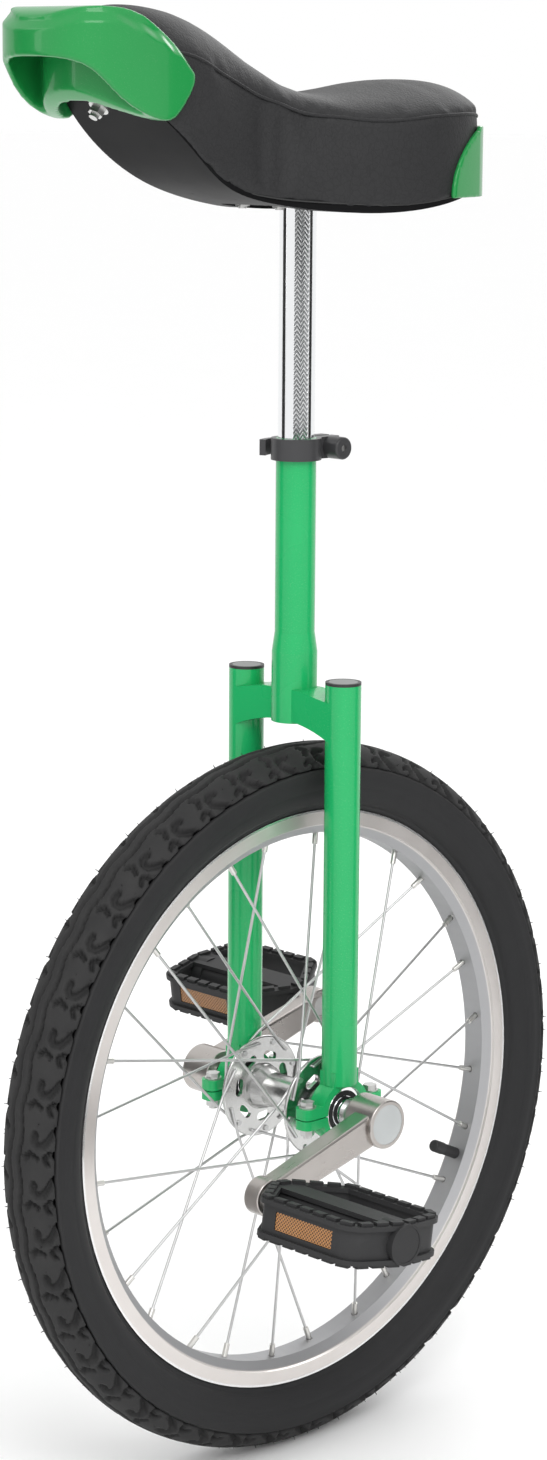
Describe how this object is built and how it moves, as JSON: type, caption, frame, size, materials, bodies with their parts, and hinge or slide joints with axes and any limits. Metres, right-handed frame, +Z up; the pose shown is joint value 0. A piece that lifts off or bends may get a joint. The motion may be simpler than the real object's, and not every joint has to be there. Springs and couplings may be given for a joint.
{
  "type": "unicycle",
  "caption": "Freestyle unicycle with a spoked wheel, tubular fork, quick-release seat post, curved padded saddle with a grab handle, square-taper cranks and platform pedals.",
  "frame": {"origin": "point on the ground under the middle of the axle", "axes": "+Z up, -Y forwards (the saddle's horn), +X the rider's left, along the axle"},
  "size_m": [0.452, 0.512, 1.0162],
  "materials": {
    "frame_paint": "gloss",
    "cap_grey": "satin",
    "bolt_black": "satin",
    "steel": "satin",
    "chrome": "polished",
    "post_chrome": "polished",
    "clamp_black": "satin",
    "rim_alloy": "satin",
    "rim_strip": "matte",
    "tyre_rubber": "matte",
    "tube_rubber": "matte",
    "valve_rubber": "satin",
    "valve_plastic": "matte",
    "spoke_steel": "satin",
    "nipple_brass": "polished",
    "hub_alloy": "polished",
    "cap_silver": "satin",
    "crank_alloy": "polished",
    "pedal_plastic": "matte",
    "bush_nylon": "satin",
    "reflector_amber": "gloss",
    "saddle_vinyl": "satin",
    "saddle_padding": "matte",
    "saddle_tray": "satin",
    "bumper_green": "gloss"
  },
  "bodies": {
    "frame": {"fork_leg_left": "frame_paint", "fork_leg_right": "frame_paint", "leg_end_caps": "cap_grey", "crown": "frame_paint", "seat_tube": "frame_paint", "clamp_collar": "clamp_black", "clamp_skewer": "steel", "bearing_housing_left": "frame_paint", "bearing_housing_right": "frame_paint", "bearing_cap_left": "frame_paint", "bearing_cap_right": "frame_paint", "bearing_cap_bolts": "steel", "bearing_cap_nuts": "steel", "bearing_outer_races": "chrome", "bearing_seals": "tube_rubber"},
    "wheel": {"rim": "rim_alloy", "rim_tape": "rim_strip", "rim_joint_sleeve": "steel", "tyre": "tyre_rubber", "inner_tube": "tube_rubber", "valve_stem": "valve_rubber", "valve_cap": "valve_plastic", "spokes_left": "spoke_steel", "spokes_right": "spoke_steel", "spoke_nipples": "nipple_brass", "hub_shell": "hub_alloy", "axle": "steel", "axle_spacers": "chrome", "bearing_inner_races": "chrome", "bearing_balls": "chrome", "crank_left": "crank_alloy", "crank_right": "crank_alloy", "crank_bolts": "steel", "crank_dust_caps": "cap_silver", "pedal_spindle_left": "steel", "pedal_spindle_right": "steel"},
    "pedal_left": {"pedal_body_left": "pedal_plastic", "pedal_bushes_left": "bush_nylon", "pedal_end_cap_left": "pedal_plastic", "pedal_reflectors_left": "reflector_amber"},
    "pedal_right": {"pedal_body_right": "pedal_plastic", "pedal_bushes_right": "bush_nylon", "pedal_end_cap_right": "pedal_plastic", "pedal_reflectors_right": "reflector_amber"},
    "seat": {"seat_post": "post_chrome", "saddle_plate": "steel", "saddle_studs": "steel", "saddle_nuts": "steel", "saddle_base": "saddle_tray", "saddle_foam": "saddle_padding", "saddle_cover": "saddle_vinyl", "front_bumper": "bumper_green", "rear_bumper": "bumper_green", "handle_bolt": "steel", "tail_screw": "bolt_black"},
    "clamp_lever": {"clamp_lever": "clamp_black"},
    "clamp_nut": {"clamp_nut": "clamp_black"}
  },
  "joints": [
    {"name": "wheel_spin", "type": "hinge", "parent": "frame", "child": "wheel", "pos_m": [0, 0, 0.256], "axis": [1, 0, 0], "continuous": true},
    {"name": "left_pedal_spin", "type": "hinge", "parent": "wheel", "child": "pedal_left", "pos_m": [0.166, -0.11498, 0.22946], "axis": [1, 0, 0], "continuous": true},
    {"name": "right_pedal_spin", "type": "hinge", "parent": "wheel", "child": "pedal_right", "pos_m": [-0.166, 0.11498, 0.28254], "axis": [1, 0, 0], "continuous": true},
    {"name": "seat_post_height", "type": "slide", "parent": "frame", "child": "seat", "axis": [0, 0, 1], "range_m": [-0.09, 0.03]},
    {"name": "clamp_lever_swing", "type": "hinge", "parent": "frame", "child": "clamp_lever", "pos_m": [-0.0145, 0.025, 0.7195], "axis": [0, 0, -1], "range_deg": [0, 150]},
    {"name": "clamp_nut_turn", "type": "hinge", "parent": "frame", "child": "clamp_nut", "pos_m": [0.02, 0.025, 0.7195], "axis": [1, 0, 0], "continuous": true}
  ]
}
